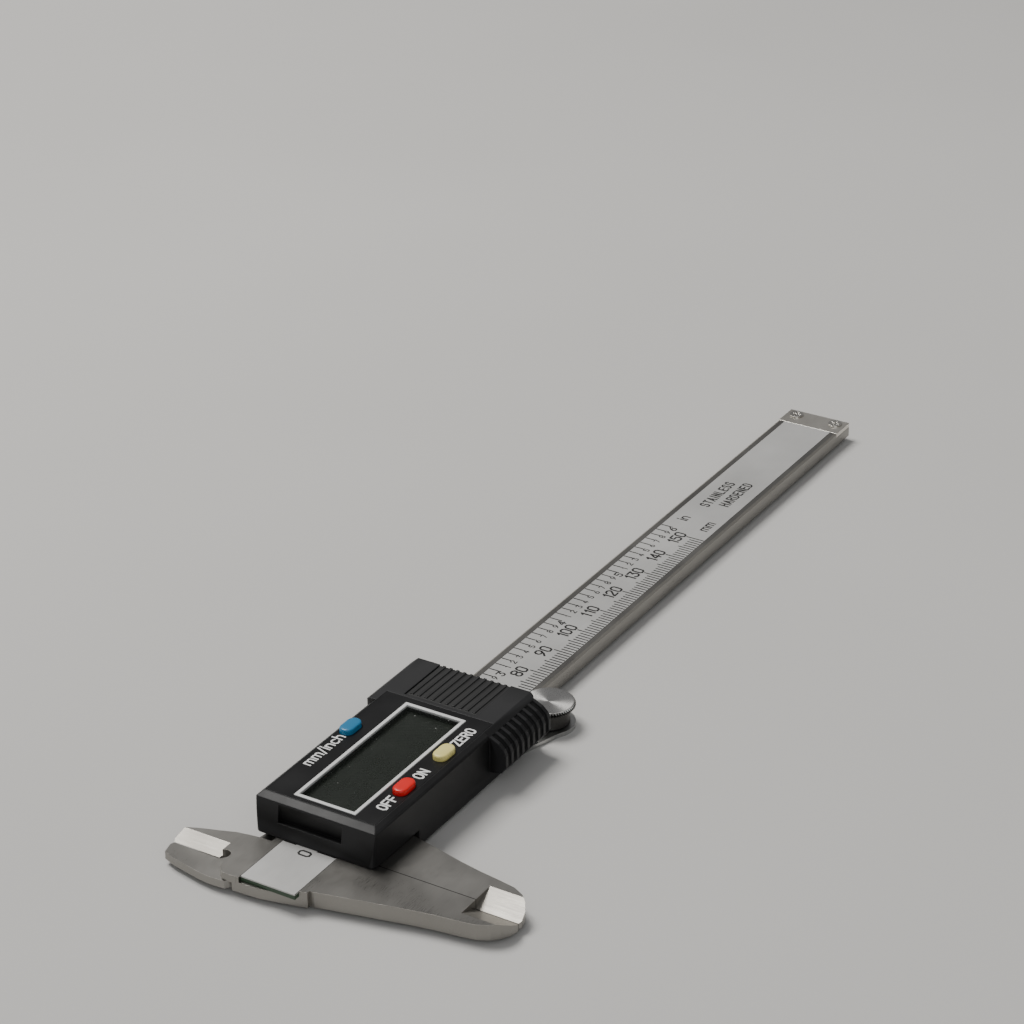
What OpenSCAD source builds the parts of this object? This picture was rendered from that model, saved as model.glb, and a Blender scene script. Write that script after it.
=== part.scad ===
// Digital caliper, 150 mm range, closed. Origin: jaw contact plane (X), beam centreline (Y) and
// the plane it rests on (Z). +X runs along the beam away from the jaws, +Y towards the inside jaws.

/* [Beam and fixed jaws] */
// Width of the beam across Y
beam_w = 16; // [12:0.5:20]
// Thickness of the beam and the jaws
beam_t = 3.5; // [2.5:0.1:5]
// Far end of the beam from the jaw contact plane
beam_x1 = 221; // [150:1:340]
// Length of the end block on the beam
end_len = 7.1; // [5:0.1:12]
// Width of the printed scale on the beam
scale_w = 12.6; // [8:0.1:15]
// Thickness of the printed scale cover
scale_t = 0.3; // [0.2:0.05:1]
// Thickness of the scale's circuit strip under the cover
scale_board_t = 0.9; // [0.5:0.1:1.2]
// Tip of the outside jaws, below the beam centreline
jaw_tip_y = -46.4; // [-60:0.1:-30]
// Start of the ground bevel on the outside jaws
jaw_bevel_y = -36.7; // [-45:0.1:-20]
// Depth of that bevel at the contact plane
jaw_bevel_d = 2.3; // [0.5:0.1:3]
// Width of that bevel from the contact plane
jaw_bevel_w = 5.1; // [3:0.1:8]
// Reach of the inside jaws from the beam centreline
inside_tip_y = 26.2; // [20:0.1:35]
// Knife edge of the inside jaws along X
inside_edge_x = -11.3; // [-16:0.1:-6]

/* [Slider] */
// Thickness of the back plate
plate_t = 1; // [0.6:0.1:2]
// Length end of the slider rails
rail_x1 = 57; // [45:0.5:70]
// Outer half width of the slider rails
rail_y = 12.2; // [11:0.1:14]
// Clearance between the slider and the beam edge
slide_gap = 0.05; // [0.02:0.01:0.1]
// Thickness of the brass gib strip
gib_t = 0.46; // [0.3:0.02:1]

/* [Depth rod] */
// Width of the depth rod
rod_w = 2; // [1.5:0.1:3]
// Height of the depth rod
rod_h = 1.3; // [1:0.1:1.6]

/* [Head] */
// Front edge of the head where the beam comes out
head_x0 = -1.95; // [-4:0.05:0]
// Rear edge of the head
head_x1 = 58.9; // [50:0.1:70]
// Near side of the head
head_y0 = -14.8; // [-18:0.1:-12]
// Far side of the head
head_y1 = 13.2; // [12.8:0.1:18]
// Top of the head above the rest plane
head_z1 = 12.6; // [11:0.1:16]
// Thickness of the head's top wall
wall_top = 1.2; // [0.8:0.1:2]

/* [Display] */
// Length of the display frame
lcd_l = 40.1; // [30:0.1:50]
// Width of the display frame
lcd_w = 14.5; // [10:0.1:20]
// Centre of the display along X
lcd_x = 22.45; // [15:0.05:30]
// Centre of the display along Y
lcd_y = -0.8; // [-3:0.1:3]
// Band width of the display frame
lcd_band = 0.8; // [0.6:0.1:3]

/* [Buttons] */
// Length of a button
btn_l = 5.6; // [4:0.1:10]
// Width of a button
btn_w = 3.2; // [2:0.1:6]
// Button height above the head
btn_h = 1.2; // [0.3:0.1:2]
// Travel of a button
btn_travel = 0.5; // [0.2:0.1:1]

/* [Battery] */
// Diameter of the button cell
cell_d = 11.6; // [7:0.1:12]
// Height of the button cell
cell_h = 5.4; // [2:0.1:5.4]
// Centre of the cell along X
cell_x = 51.4; // [48:0.1:53]

/* [Thumb roller] */
// Diameter of the roller's knurled disc
roller_d = 11.4; // [8:0.1:14]
// Diameter of the roller's neck against the beam edge
neck_d = 9.1; // [5:0.1:11]
// Centre of the roller along X
roller_x = 67.4; // [62:0.1:72]
// Centre of the roller along Y
roller_y = -12.6; // [-15:0.1:-10]
// Diameter of the roller axle
axle_d = 2; // [1.2:0.1:3]

/* [Lock screw] */
// Place of the lock screw along X
lock_x = 30; // [18:0.5:36]
// Thread diameter of the lock screw
lock_d = 3; // [2:0.1:4]
// Diameter of the lock screw head
lock_head_d = 6; // [5:0.1:6.2]

/* [Hidden] */
$fn = 64;
e = 0.01;
run = 0.1;
beam_z0 = plate_t + run;
beam_z1 = beam_z0 + beam_t;
half_w = beam_w / 2;
end_x0 = beam_x1 - end_len;
end_screw_x = beam_x1 - 2.5;
end_screw_y = 5.3;
end_screw_d = 1.8;
end_head_d = 3.4;
end_head_h = 0.35;
recess_z = beam_z1 - scale_t - scale_board_t;
mid_z = beam_z0 + beam_t / 2;
groove_h = rod_h + 0.25;
edge_cut = 0.5;
rail_x0 = 1.5;
rail_in = half_w + slide_gap;
gib_out = half_w + 0.04 + gib_t;
board_z0 = beam_z1 + 0.4;
board_t = 1;
board_z1 = board_z0 + board_t;
lip_z0 = beam_z1 + slide_gap;
lip_in = 6.7;
screw_z = 3.2;
gib_xs = [12, 46];
gib_x0 = 3.8;
gib_x1 = 56;
plate_xs = [8, 38];
board_xs = [4.6, 44.2];
head_xs = [21.5, 53];
near_y = -10.3;
far_y = 10.5;
boss_near_y = -10.9;
boss_far_y = 10.6;
plate_x0 = -1.9;
plate_y1 = 12.5;
plate_y0 = -13.5;
lug_r = roller_d / 2;
cavity_z1 = head_z1 - wall_top;
cavity_x0 = 1.4;
cavity_x1 = head_x1 - 1.5;
cavity_y0 = head_y0 + 0.9;
cavity_y1 = head_y1 - 0.8;
step_x = 40.3;
head_y2 = head_y1 + 2;
slot_y0 = -7.1;
slot_y1 = 7.8;
slot_z0 = 7.8;
slot_z1 = 11.9;
slot_depth_x = -0.3;
slot_top_x = -0.9;
label_t = 0.2;
label_x0 = 1.4;
label_x1 = 44.3;
label_y0 = -13.3;
label_y1 = 12.3;
frame_z0 = head_z1 - 0.5;
frame_z1 = head_z1 + 0.15;
panel_z0 = 9.4;
panel_z1 = 11.2;
panel_l = lcd_l - 1.1;
panel_w = lcd_w - 0.1;
window_l = lcd_l - 2 * lcd_band - 0.2;
window_w = lcd_w - 2 * lcd_band - 0.2;
zebra_l = 33;
zebra_w = 1.2;
zebra_y = 5.6;
btn_mode_x = 28.3;
btn_mode_y = 10.6;
btn_zero_x = 29.5;
btn_power_x = 15;
btn_near_y = -11;
btn_flange_l = 8.4;
bay_x0 = 45.2;
bay_y0 = -8.7;
bay_y1 = 8.7;
cover_gap = 0.1;
cover_z0 = 11.6;
cell_z0 = board_z1 + 0.1;
rest_x0 = 40.5;
rest_x1 = 58;
rib_n = 10;
ridge_n = 9;
disc_z0 = beam_z1 + 0.15;
disc_z1 = beam_z1 + 1.25;
rod_z0 = plate_t + 0.2;
rod_x0 = 6;
rivet_xs = [8, 12];
rivet_d = 1;

// Outline of the outside jaw on the +X side, from its root to its tip
outer_jaw = [
  [0, -half_w + 0.5], [13.6, -half_w + 0.5], [13.6, -9], [12.8, -12.2], [11.7, -17],
  [10.6, -21.9], [9.3, -27.4], [8.3, -32.6], [7.6, -37.6], [7, -41], [5.8, -43.4],
  [4.4, jaw_tip_y + 1.5], [2.6, jaw_tip_y + 0.4], [0.6, jaw_tip_y], [0, jaw_tip_y + 0.4]
];

// Outline of the inside jaw on the fixed head
inner_jaw = [
  [-16.9, half_w - 1], [-16.9, half_w + 2.2], [-15.6, half_w + 3.6], [inside_edge_x, 13.2],
  [inside_edge_x, inside_tip_y - 0.3], [inside_edge_x + 0.8, inside_tip_y], [-7.9, 25.6],
  [-6.7, 22.9], [-5.4, 19], [-4.25, 15.9], [-3.7, 12.9], [-3.4, 10.3], [-3.3, half_w - 1]
];

// Outline of the inside jaw on the slider, with the arm that carries it
moving_inner_jaw = [
  [rail_x0 + 2, 8.6], [rail_x0, half_w + run], [-15.5, half_w + run], [-17.2, half_w + 1.6],
  [-17.4, 12.9], [-17.1, 15.9], [-16.5, 19], [-15.7, 22.9], [-14.7, 25.6],
  [inside_edge_x - 0.8, inside_tip_y], [inside_edge_x, inside_tip_y - 0.3],
  [inside_edge_x, 15.2], [-10.4, 14], [-8.8, 13.6], [rail_x0 - 1, 12.2], [rail_x0 + 2, rail_y]
];

beam();
scale_board();
scale_cover();
end_block();
rod_keeper();
end_screws();
slider_frame();
back_plate();
plate_screws();
gib_strip();
gib_screws();
lock_screw();
depth_rod();
rod_shim();
rod_rivets();
housing();
housing_screws();
face_label();
lcd_frame();
lcd_window();
lcd_panel();
lcd_holder();
zebra_strips();
circuit_board();
board_screws();
controller_chip();
button_switches();
button_mode();
button_zero();
button_power();
battery_cell();
contact_spring();
contact_tab();
battery_cover();
thumb_roller();
roller_axle();

// A box between two corners
module box(a, b) {
  translate(a) cube(b - a);
}

// A box with its vertical edges rounded
module round_box(a, b, r) {
  translate([0, 0, a[2]]) linear_extrude(b[2] - a[2]) {
    translate([a[0] + r, a[1]]) square([b[0] - a[0] - 2 * r, b[1] - a[1]]);
    translate([a[0], a[1] + r]) square([b[0] - a[0], b[1] - a[1] - 2 * r]);
    for (x = [a[0] + r, b[0] - r], y = [a[1] + r, b[1] - r]) translate([x, y]) circle(r);
  }
}

// A prism along X with its outline given in Y and Z
module prism_x(x0, x1, pts) {
  translate([x0, 0, 0]) rotate([90, 0, 90]) linear_extrude(x1 - x0) polygon(pts);
}

// A prism along Y with its outline given in X and Z
module prism_y(y0, y1, pts) {
  translate([0, y1, 0]) rotate([90, 0, 0]) linear_extrude(y1 - y0) polygon(pts);
}

// A vertical rod between two heights
module rod_z(x, y, z0, z1, d) {
  translate([x, y, z0]) cylinder(h = z1 - z0, d = d);
}

// A rod along Y between two places
module rod_y(x, z, y0, y1, d) {
  translate([x, y0, z]) rotate([-90, 0, 0]) cylinder(h = y1 - y0, d = d);
}

// A capsule-shaped pad lying along X
module capsule(x, y, z0, z1, l, w) {
  translate([x, y, z0]) linear_extrude(z1 - z0) {
    square([l - w, w], center = true);
    for (s = [-1, 1]) translate([s * (l - w) / 2, 0]) circle(d = w);
  }
}

// Ground bevel on an outside jaw, s = 1 on the +X side
module jaw_bevel(s) {
  slope = jaw_bevel_d / jaw_bevel_w;
  over = 0.5;
  prism_y(jaw_tip_y - 1, jaw_bevel_y, [
    [-s * over, beam_z1 - jaw_bevel_d - over * slope],
    [s * (jaw_bevel_w + over), beam_z1 + over * slope], [-s * over, beam_z1 + over * slope]
  ]);
}

module beam() {
  color("silver") difference() {
    union() {
      translate([0, 0, beam_z0]) linear_extrude(beam_t) polygon([
        [-16.9, half_w], [-16.6, 2], [-15, -5.5], [-14.4, -half_w], [0, -half_w],
        [beam_x1, -half_w], [beam_x1, half_w]
      ]);
      translate([0, 0, beam_z0]) linear_extrude(beam_t) mirror([1, 0]) polygon(outer_jaw);
      translate([0, 0, mid_z + 0.1]) linear_extrude(beam_z1 - mid_z - 0.1) polygon(inner_jaw);
    }
    // recess for the scale, running off the beam at both ends
    box([-20, -scale_w / 2 - 0.02, recess_z], [beam_x1 + 1, scale_w / 2 + 0.02, beam_z1 + 1]);
    // step for the end block
    box([end_x0, -half_w - 1, recess_z], [beam_x1 + 1, half_w + 1, beam_z1 + 1]);
    // groove for the depth rod
    box([2, -rod_w / 2 - 0.15, beam_z0 - 1], [beam_x1 + 1, rod_w / 2 + 0.15, beam_z0 + groove_h]);
    // broken edges along the top
    for (s = [-1, 1]) prism_x(1, beam_x1 + 1, [
      [s * (half_w - edge_cut - 0.2), beam_z1 + 0.1], [s * (half_w + 0.5), beam_z1 - 0.6],
      [s * (half_w + 0.5), beam_z1 + 0.1]
    ]);
    jaw_bevel(-1);
    // bevel of the inside jaw, down to the knife edge
    prism_y(14.6, 30, [
      [inside_edge_x - 1, mid_z - 0.43], [inside_edge_x + 3.3, beam_z1],
      [inside_edge_x + 3.3, beam_z1 + 1], [inside_edge_x - 1, beam_z1 + 1]
    ]);
    // relief at the root of the knife edge
    rod_z(inside_edge_x - 0.3, 13.6, beam_z0 - 1, beam_z1 + 1, 2.8);
    end_screw_holes();
  }
}

module end_screw_holes() {
  for (s = [-1, 1]) rod_z(end_screw_x, s * end_screw_y, -1, beam_z1 + 2, end_screw_d);
}

module scale_board() {
  color("seagreen") box([-16.1, -scale_w / 2, recess_z],
                        [end_x0, scale_w / 2, recess_z + scale_board_t]);
}

module scale_cover() {
  color("lightgray") box([-16.1, -scale_w / 2, beam_z1 - scale_t],
                         [end_x0, scale_w / 2, beam_z1]);
}

module end_block() {
  color("silver") difference() {
    box([end_x0, -half_w, recess_z], [beam_x1, half_w, beam_z1]);
    end_screw_holes();
  }
}

module rod_keeper() {
  color("dimgray") difference() {
    box([end_x0, -6.4, 0], [beam_x1, 6.4, beam_z0]);
    end_screw_holes();
  }
}

module end_screws() {
  color("gainsboro") for (s = [-1, 1]) difference() {
    union() {
      rod_z(end_screw_x, s * end_screw_y, 0.2, beam_z1 + end_head_h, end_screw_d);
      rod_z(end_screw_x, s * end_screw_y, beam_z1, beam_z1 + end_head_h, end_head_d);
    }
    for (a = [0, 90]) translate([end_screw_x, s * end_screw_y, beam_z1 + end_head_h])
      rotate([0, 0, a]) cube([2.2, 0.45, 0.5], center = true);
  }
}

module slider_frame() {
  color("silver") difference() {
    union() {
      box([rail_x0, -rail_y, plate_t], [rail_x1, -rail_in, board_z0]);
      box([rail_x0, gib_out, plate_t], [rail_x1, rail_y, board_z0]);
      // lips that ride on the top of the beam
      box([rail_x0, -rail_in - 0.1, lip_z0], [rail_x1, -lip_in, board_z0]);
      box([rail_x0, lip_in, lip_z0], [rail_x1, gib_out + 0.1, board_z0]);
      // bridges across the beam at the two ends
      box([rail_x0, -rail_y, lip_z0], [rail_x0 + 1.7, rail_y, board_z1]);
      box([rail_x1 - 0.9, -rail_y, lip_z0], [rail_x1, rail_y, board_z1]);
      // outside jaw
      translate([0.02, 0, beam_z0]) linear_extrude(beam_t) intersection() {
        polygon(outer_jaw);
        translate([-1, -60]) square([40, 60 - rail_in]);
      }
      // inside jaw and its arm, behind the fixed one
      translate([0, 0, beam_z0]) linear_extrude(mid_z - beam_z0) polygon(moving_inner_jaw);
    }
    jaw_bevel(1);
    prism_y(14.6, 30, [
      [inside_edge_x + 1, mid_z + 0.45], [inside_edge_x - 3.4, beam_z0],
      [inside_edge_x - 3.4, beam_z0 - 1], [inside_edge_x + 1, beam_z0 - 1]
    ]);
    for (x = plate_xs, y = [near_y, far_y]) rod_z(x, y, plate_t - 1, 3.9, 1.6);
    for (x = head_xs, y = [boss_near_y, boss_far_y]) {
      rod_z(x, y, plate_t - 1, 2.05, 2.5);
      rod_z(x, y, plate_t, board_z0 + 1, 1.5);
    }
    for (x = board_xs, y = [near_y, far_y]) rod_z(x, y, 3, board_z0 + 1, 1.4);
    for (x = gib_xs) rod_y(x, screw_z, gib_out - 1, rail_y + 1, 2);
    rod_y(lock_x, screw_z, gib_out - 1, rail_y + 1, lock_d + 0.08);
  }
}

module back_plate() {
  color("silver") difference() {
    union() {
      round_box([plate_x0, plate_y0, 0], [rail_x1, plate_y1, plate_t], 1.5);
      // arm and lug that carry the thumb roller
      linear_extrude(plate_t) polygon([
        [rail_x1 - 4, plate_y0], [roller_x, roller_y - lug_r], [roller_x, roller_y + lug_r],
        [rail_x1 - 4, roller_y + lug_r]
      ]);
      rod_z(roller_x, roller_y, 0, plate_t, 2 * lug_r);
    }
    for (x = plate_xs, y = [near_y, far_y]) {
      rod_z(x, y, -1, plate_t + 1, 1.6);
      translate([x, y, -e]) cylinder(h = 0.81, d1 = 3.3, d2 = 1.6);
    }
    for (x = rivet_xs) rod_z(x, 0, -1, plate_t + 1, rivet_d);
    rod_z(roller_x, roller_y, -1, plate_t + 1, axle_d + 0.1);
    rod_z(roller_x, roller_y, -1, 0.5, axle_d + 1.4);
  }
}

module plate_screws() {
  color("gainsboro") for (x = plate_xs, y = [near_y, far_y]) difference() {
    union() {
      rod_z(x, y, 0.3, 3.9, 1.6);
      translate([x, y, 0.1]) cylinder(h = 0.7, d1 = 3.068, d2 = 1.6);
    }
    for (a = [0, 90]) translate([x, y, 0.2]) rotate([0, 0, a])
      cube([1.8, 0.35, 0.5], center = true);
  }
}

module gib_strip() {
  color("gold") box([gib_x0, half_w + 0.04, beam_z0 + 0.2], [gib_x1, gib_out, beam_z1 - 0.2]);
}

module gib_screws() {
  color("dimgray") for (x = gib_xs) difference() {
    rod_y(x, screw_z, gib_out, rail_y - 0.3, 2);
    translate([x, rail_y - 0.3, screw_z]) cube([2.2, 1, 0.4], center = true);
  }
}

module lock_screw() {
  knurls = 30;
  r = lock_head_d / 2;
  color("gray") union() {
    rod_y(lock_x, screw_z, gib_out + 0.25, head_y1 + 0.5, lock_d);
    translate([lock_x, head_y1 + 0.3, screw_z]) rotate([-90, 0, 0]) linear_extrude(4.6)
      polygon([for (i = [0 : 2 * knurls - 1])
        let (q = r - (i % 2) * 0.2) [q * cos(i * 180 / knurls), q * sin(i * 180 / knurls)]]);
    rod_y(lock_x, screw_z, head_y1 + 4.9, head_y1 + 5.4, lock_head_d - 1.2);
  }
}

module depth_rod() {
  color("silver") difference() {
    box([rod_x0, -rod_w / 2, rod_z0], [beam_x1, rod_w / 2, rod_z0 + rod_h]);
    for (x = rivet_xs) rod_z(x, 0, 0, rod_z0 + rod_h + 1, rivet_d);
    // thinned nose that reaches into corners
    prism_x(beam_x1 - 3, beam_x1 + 1, [
      [-rod_w / 2 - 1, rod_z0 - 1], [-rod_w / 2 - 1, rod_z0 + 2], [-0.35, rod_z0 + 2],
      [-0.35, rod_z0 - 1]
    ]);
  }
}

module rod_shim() {
  color("dimgray") difference() {
    box([rod_x0, -rod_w / 2, plate_t], [14, rod_w / 2, rod_z0]);
    for (x = rivet_xs) rod_z(x, 0, 0, rod_z0 + 1, rivet_d);
  }
}

module rod_rivets() {
  color("gainsboro") for (x = rivet_xs) rod_z(x, 0, 0.1, rod_z0 + rod_h, rivet_d);
}

module housing() {
  color([0.12, 0.12, 0.13]) difference() {
    union() {
      round_box([head_x0, head_y0, beam_z1 + run], [head_x1, head_y1, head_z1], 1.6);
      // wider rear part on the far side
      round_box([step_x, head_y1 - 4, beam_z1 + run], [head_x1, head_y2, head_z1], 1.2);
      // skirts over the slider rails
      box([14.2, head_y0, plate_t + 0.1], [head_x1, -rail_y - run, beam_z1 + 1]);
      box([rail_x0, rail_y + run, plate_t + 0.1], [head_x1, head_y1, beam_z1 + 1]);
      thumb_rest();
    }
    // cavity
    box([cavity_x0, cavity_y0, 0], [cavity_x1, cavity_y1, cavity_z1]);
    box([cavity_x1 - 1, -half_w - 0.3, 0], [head_x1 + 1, half_w + 0.3, beam_z1 + run]);
    box([cavity_x0 - 4, -half_w - 0.3, 0], [cavity_x0 + 1, half_w + 0.3, beam_z1 + run]);
    head_edges();
    // recess across the front wall, deepest at its floor
    prism_y(slot_y0, slot_y1, [
      [head_x0 - 1, slot_z0], [slot_depth_x, slot_z0], [slot_top_x, slot_z1],
      [head_x0 - 1, slot_z1]
    ]);
    // label recess
    box([label_x0, label_y0, head_z1 - label_t], [label_x1, label_y1, head_z1 + 1]);
    // display recess and opening
    lcd_box(lcd_l + 0.2, lcd_w + 0.2, frame_z0, head_z1 + 1);
    lcd_box(window_l + 0.2, window_w + 0.2, cavity_z1 - 1, head_z1 + 1);
    capsule(btn_mode_x, btn_mode_y, cavity_z1 - 1, head_z1 + 1, btn_l + 0.2, btn_w + 0.2);
    capsule(btn_zero_x, btn_near_y, cavity_z1 - 1, head_z1 + 1, btn_l + 0.2, btn_w + 0.2);
    capsule(btn_power_x, btn_near_y, cavity_z1 - 1, head_z1 + 1, btn_l + 0.2, btn_w + 0.2);
    // opening for the battery cover
    box([bay_x0, bay_y0, cavity_z1 - 1], [head_x1 + 1, bay_y1, head_z1 + 1]);
    box([bay_x0, bay_y0 - 1, 10.5], [head_x1 + 1, bay_y1 + 1, cavity_z1]);
    rod_y(lock_x, screw_z, rail_y - 1, head_y1 + 1, lock_d + 0.6);
  }
  color([0.12, 0.12, 0.13]) for (x = head_xs, y = [boss_near_y, boss_far_y]) difference() {
    rod_z(x, y, board_z1, cavity_z1, 3.2);
    rod_z(x, y, board_z1 - 1, 10, 1.4);
  }
}

// Slanted faces round the top of the head
module head_edges() {
  far = head_z1 + 1;
  prism_y(head_y0 - 1, head_y2 + 1, [
    [head_x0 - 1, beam_z1], [head_x0, beam_z1], [head_x0 + 1.15, 12.1], [1.1, head_z1],
    [1.1, far], [head_x0 - 1, far]
  ]);
  prism_x(head_x0 - 1, rest_x0, [
    [head_y0 - 1, 11.7], [head_y0, 11.7], [head_y0 + 0.3, 12.15], [label_y0 - 0.1, head_z1],
    [label_y0 - 0.1, far], [head_y0 - 1, far]
  ]);
  prism_x(rest_x0 - e, head_x1 + 1, [
    [head_y0 - 6, 11.9], [head_y0, 11.9], [label_y0 - 0.1, head_z1], [label_y0 - 0.1, far],
    [head_y0 - 6, far]
  ]);
  prism_x(head_x0 - 1, step_x - 0.01, [
    [head_y1 + 3, 12.1], [head_y1, 12.1], [label_y1 + 0.2, head_z1], [label_y1 + 0.2, far],
    [head_y1 + 3, far]
  ]);
  prism_x(step_x - 0.01, head_x1 + 1, [
    [head_y2 + 1, 11.7], [head_y2, 11.7], [head_y2 - 1.1, head_z1], [head_y2 - 1.1, far],
    [head_y2 + 1, far]
  ]);
}

// Ridged thumb rest beside the roller
module thumb_rest() {
  core = [
    [head_y0 + 1, 3.4], [-17.6, 4.2], [-18.2, 5.6], [-18.2, 8.3], [-17.7, 9.4],
    [-16.7, 10.4], [head_y0, 11.6], [head_y0 + 1, 11.6]
  ];
  ridge = [
    [head_y0 + 1, 4], [-17.8, 4.6], [-18.7, 5.8], [-18.7, 8.4], [-18.1, 9.8],
    [-16.9, 10.9], [head_y0 - 0.1, 11.85], [head_y0 + 1, 11.85]
  ];
  step = (rest_x1 - rest_x0 - 0.8) / (ridge_n - 1);
  prism_x(rest_x0, rest_x1, core);
  for (i = [0 : ridge_n - 1]) prism_x(rest_x0 + i * step, rest_x0 + i * step + 0.8, ridge);
}

module lcd_box(l, w, z0, z1) {
  box([lcd_x - l / 2, lcd_y - w / 2, z0], [lcd_x + l / 2, lcd_y + w / 2, z1]);
}

module housing_screws() {
  color("gainsboro") for (x = head_xs, y = [boss_near_y, boss_far_y]) difference() {
    union() {
      rod_z(x, y, 1.15, 2.05, 2.4);
      rod_z(x, y, 1.15, 9.5, 1.4);
    }
    for (a = [0, 90]) translate([x, y, 1.2]) rotate([0, 0, a])
      cube([1.6, 0.3, 0.6], center = true);
  }
}

module face_label() {
  color([0.05, 0.05, 0.06]) difference() {
    box([label_x0 + 0.05, label_y0 + 0.05, head_z1 - label_t],
        [label_x1 - 0.05, label_y1 - 0.05, head_z1]);
    lcd_box(lcd_l + 0.2, lcd_w + 0.2, 10, head_z1 + 1);
    capsule(btn_mode_x, btn_mode_y, 10, head_z1 + 1, btn_l + 0.2, btn_w + 0.2);
    capsule(btn_zero_x, btn_near_y, 10, head_z1 + 1, btn_l + 0.2, btn_w + 0.2);
    capsule(btn_power_x, btn_near_y, 10, head_z1 + 1, btn_l + 0.2, btn_w + 0.2);
  }
}

module lcd_frame() {
  color("white") difference() {
    lcd_box(lcd_l, lcd_w, frame_z0, frame_z1);
    lcd_box(lcd_l - 2 * lcd_band, lcd_w - 2 * lcd_band, frame_z0 - 1, frame_z1 + 1);
  }
}

module lcd_window() {
  color([0.6, 0.65, 0.6, 0.5]) lcd_box(window_l, window_w, panel_z1, head_z1 - 0.1);
}

module lcd_panel() {
  color([0.45, 0.48, 0.42]) lcd_box(panel_l, panel_w, panel_z0, panel_z1);
}

module lcd_holder() {
  color([0.85, 0.85, 0.8]) difference() {
    lcd_box(panel_l + 2, panel_w + 2, board_z1, 10.8);
    lcd_box(panel_l + 0.2, panel_w + 0.2, panel_z0, 11);
    lcd_box(panel_l - 8, panel_w - 6, board_z1 - 1, 11);
    for (s = [-1, 1]) translate([lcd_x, lcd_y + s * zebra_y, 8])
      cube([zebra_l + 0.2, zebra_w + 0.2, 6], center = true);
  }
}

module zebra_strips() {
  color([0.3, 0.3, 0.35]) for (s = [-1, 1])
    translate([lcd_x - zebra_l / 2, lcd_y + s * zebra_y - zebra_w / 2, board_z1])
      cube([zebra_l, zebra_w, panel_z0 - board_z1]);
}

module circuit_board() {
  color("green") difference() {
    box([rail_x0 + 1.8, -12.5, board_z0], [rail_x1 - 1, 12.1, board_z1]);
    for (x = head_xs, y = [boss_near_y, boss_far_y]) rod_z(x, y, 0, 20, 1.5);
    for (x = board_xs, y = [near_y, far_y]) rod_z(x, y, 0, 20, 1.4);
  }
}

module board_screws() {
  color("gainsboro") for (x = board_xs, y = [near_y, far_y]) difference() {
    union() {
      rod_z(x, y, 3.2, board_z1 + 0.7, 1.4);
      rod_z(x, y, board_z1, board_z1 + 0.7, 2.4);
    }
    for (a = [0, 90]) translate([x, y, board_z1 + 0.6]) rotate([0, 0, a])
      cube([1.6, 0.3, 0.6], center = true);
  }
}

module controller_chip() {
  color([0.1, 0.1, 0.1]) box([18.5, -4.3, board_z1], [26.5, 2.7, board_z1 + 1]);
}

module button_switches() {
  for (p = [[btn_mode_x, btn_mode_y], [btn_zero_x, btn_near_y], [btn_power_x, btn_near_y]]) {
    color("dimgray") union() {
      box([p[0] - 2.2, p[1] - 1.5, board_z1], [p[0] + 2.2, p[1] + 1.5, board_z1 + 1.7]);
      rod_z(p[0], p[1], board_z1, board_z1 + 2.2, 1.8);
    }
  }
}

// One push button: domed cap, retaining flange and stem
module button(x, y) {
  capsule(x, y, 10.5, head_z1 + btn_h - 0.5, btn_l, btn_w);
  capsule(x, y, 10.5, head_z1 + btn_h - 0.2, btn_l - 0.5, btn_w - 0.5);
  capsule(x, y, 10.5, head_z1 + btn_h, btn_l - 1.2, btn_w - 1.2);
  box([x - btn_flange_l / 2, y - 1.7, 10.5], [x + btn_flange_l / 2, y + 1.7, cavity_z1 - 0.15]);
  rod_z(x, y, board_z1 + 2.2 + btn_travel + 0.1, 11, 2);
}

module button_mode() {
  color([0.35, 0.65, 0.8]) union() button(btn_mode_x, btn_mode_y);
}

module button_zero() {
  color([0.93, 0.9, 0.72]) union() button(btn_zero_x, btn_near_y);
}

module button_power() {
  color([0.88, 0.36, 0.3]) union() button(btn_power_x, btn_near_y);
}

module battery_cell() {
  color("silver") union() {
    rod_z(cell_x, 0, cell_z0 + 0.4, cell_z0 + cell_h, cell_d);
    rod_z(cell_x, 0, cell_z0, cell_z0 + 0.5, cell_d - 1.6);
  }
}

module contact_spring() {
  color("gold") box([cell_x - 4, -1.5, board_z1], [cell_x + 4, 1.5, cell_z0]);
}

module contact_tab() {
  color("gold") union() {
    box([cell_x - 1.5, cell_d / 2, board_z1], [cell_x + 1.5, cell_d / 2 + 0.3, 10.4]);
    box([cell_x - 1.5, cell_d / 2, board_z1], [cell_x + 1.5, cell_d / 2 + 1.8, board_z1 + 0.3]);
  }
}

module battery_cover() {
  y0 = bay_y0 + cover_gap;
  y1 = bay_y1 - cover_gap;
  pitch = (y1 - y0 - 2.2) / (rib_n - 1);
  lip_w = 0.9;
  lip_catch = 0.3;
  lip_bottom = 10.6;
  color([0.12, 0.12, 0.13]) union() {
    box([bay_x0 + cover_gap, y0, cover_z0], [head_x1, y1, head_z1 - 0.25]);
    for (i = [0 : rib_n - 1]) translate([0, y0 + 0.75 + i * pitch, 0])
      box([bay_x0 + 0.9, 0, cover_z0], [head_x1, 0.7, head_z1]);
    // edge lips that slide under the head's top wall
    for (s = [-1, 1]) {
      box([bay_x0 + cover_gap, s > 0 ? y1 - lip_w : y0, lip_bottom],
          [cavity_x1, s > 0 ? y1 : y0 + lip_w, cover_z0 + 0.1]);
      box([bay_x0 + cover_gap, s > 0 ? y1 - lip_w : y0 - lip_catch, lip_bottom],
          [cavity_x1, s > 0 ? y1 + lip_catch : y0 + lip_w, cavity_z1 - 0.1]);
    }
  }
}

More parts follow.
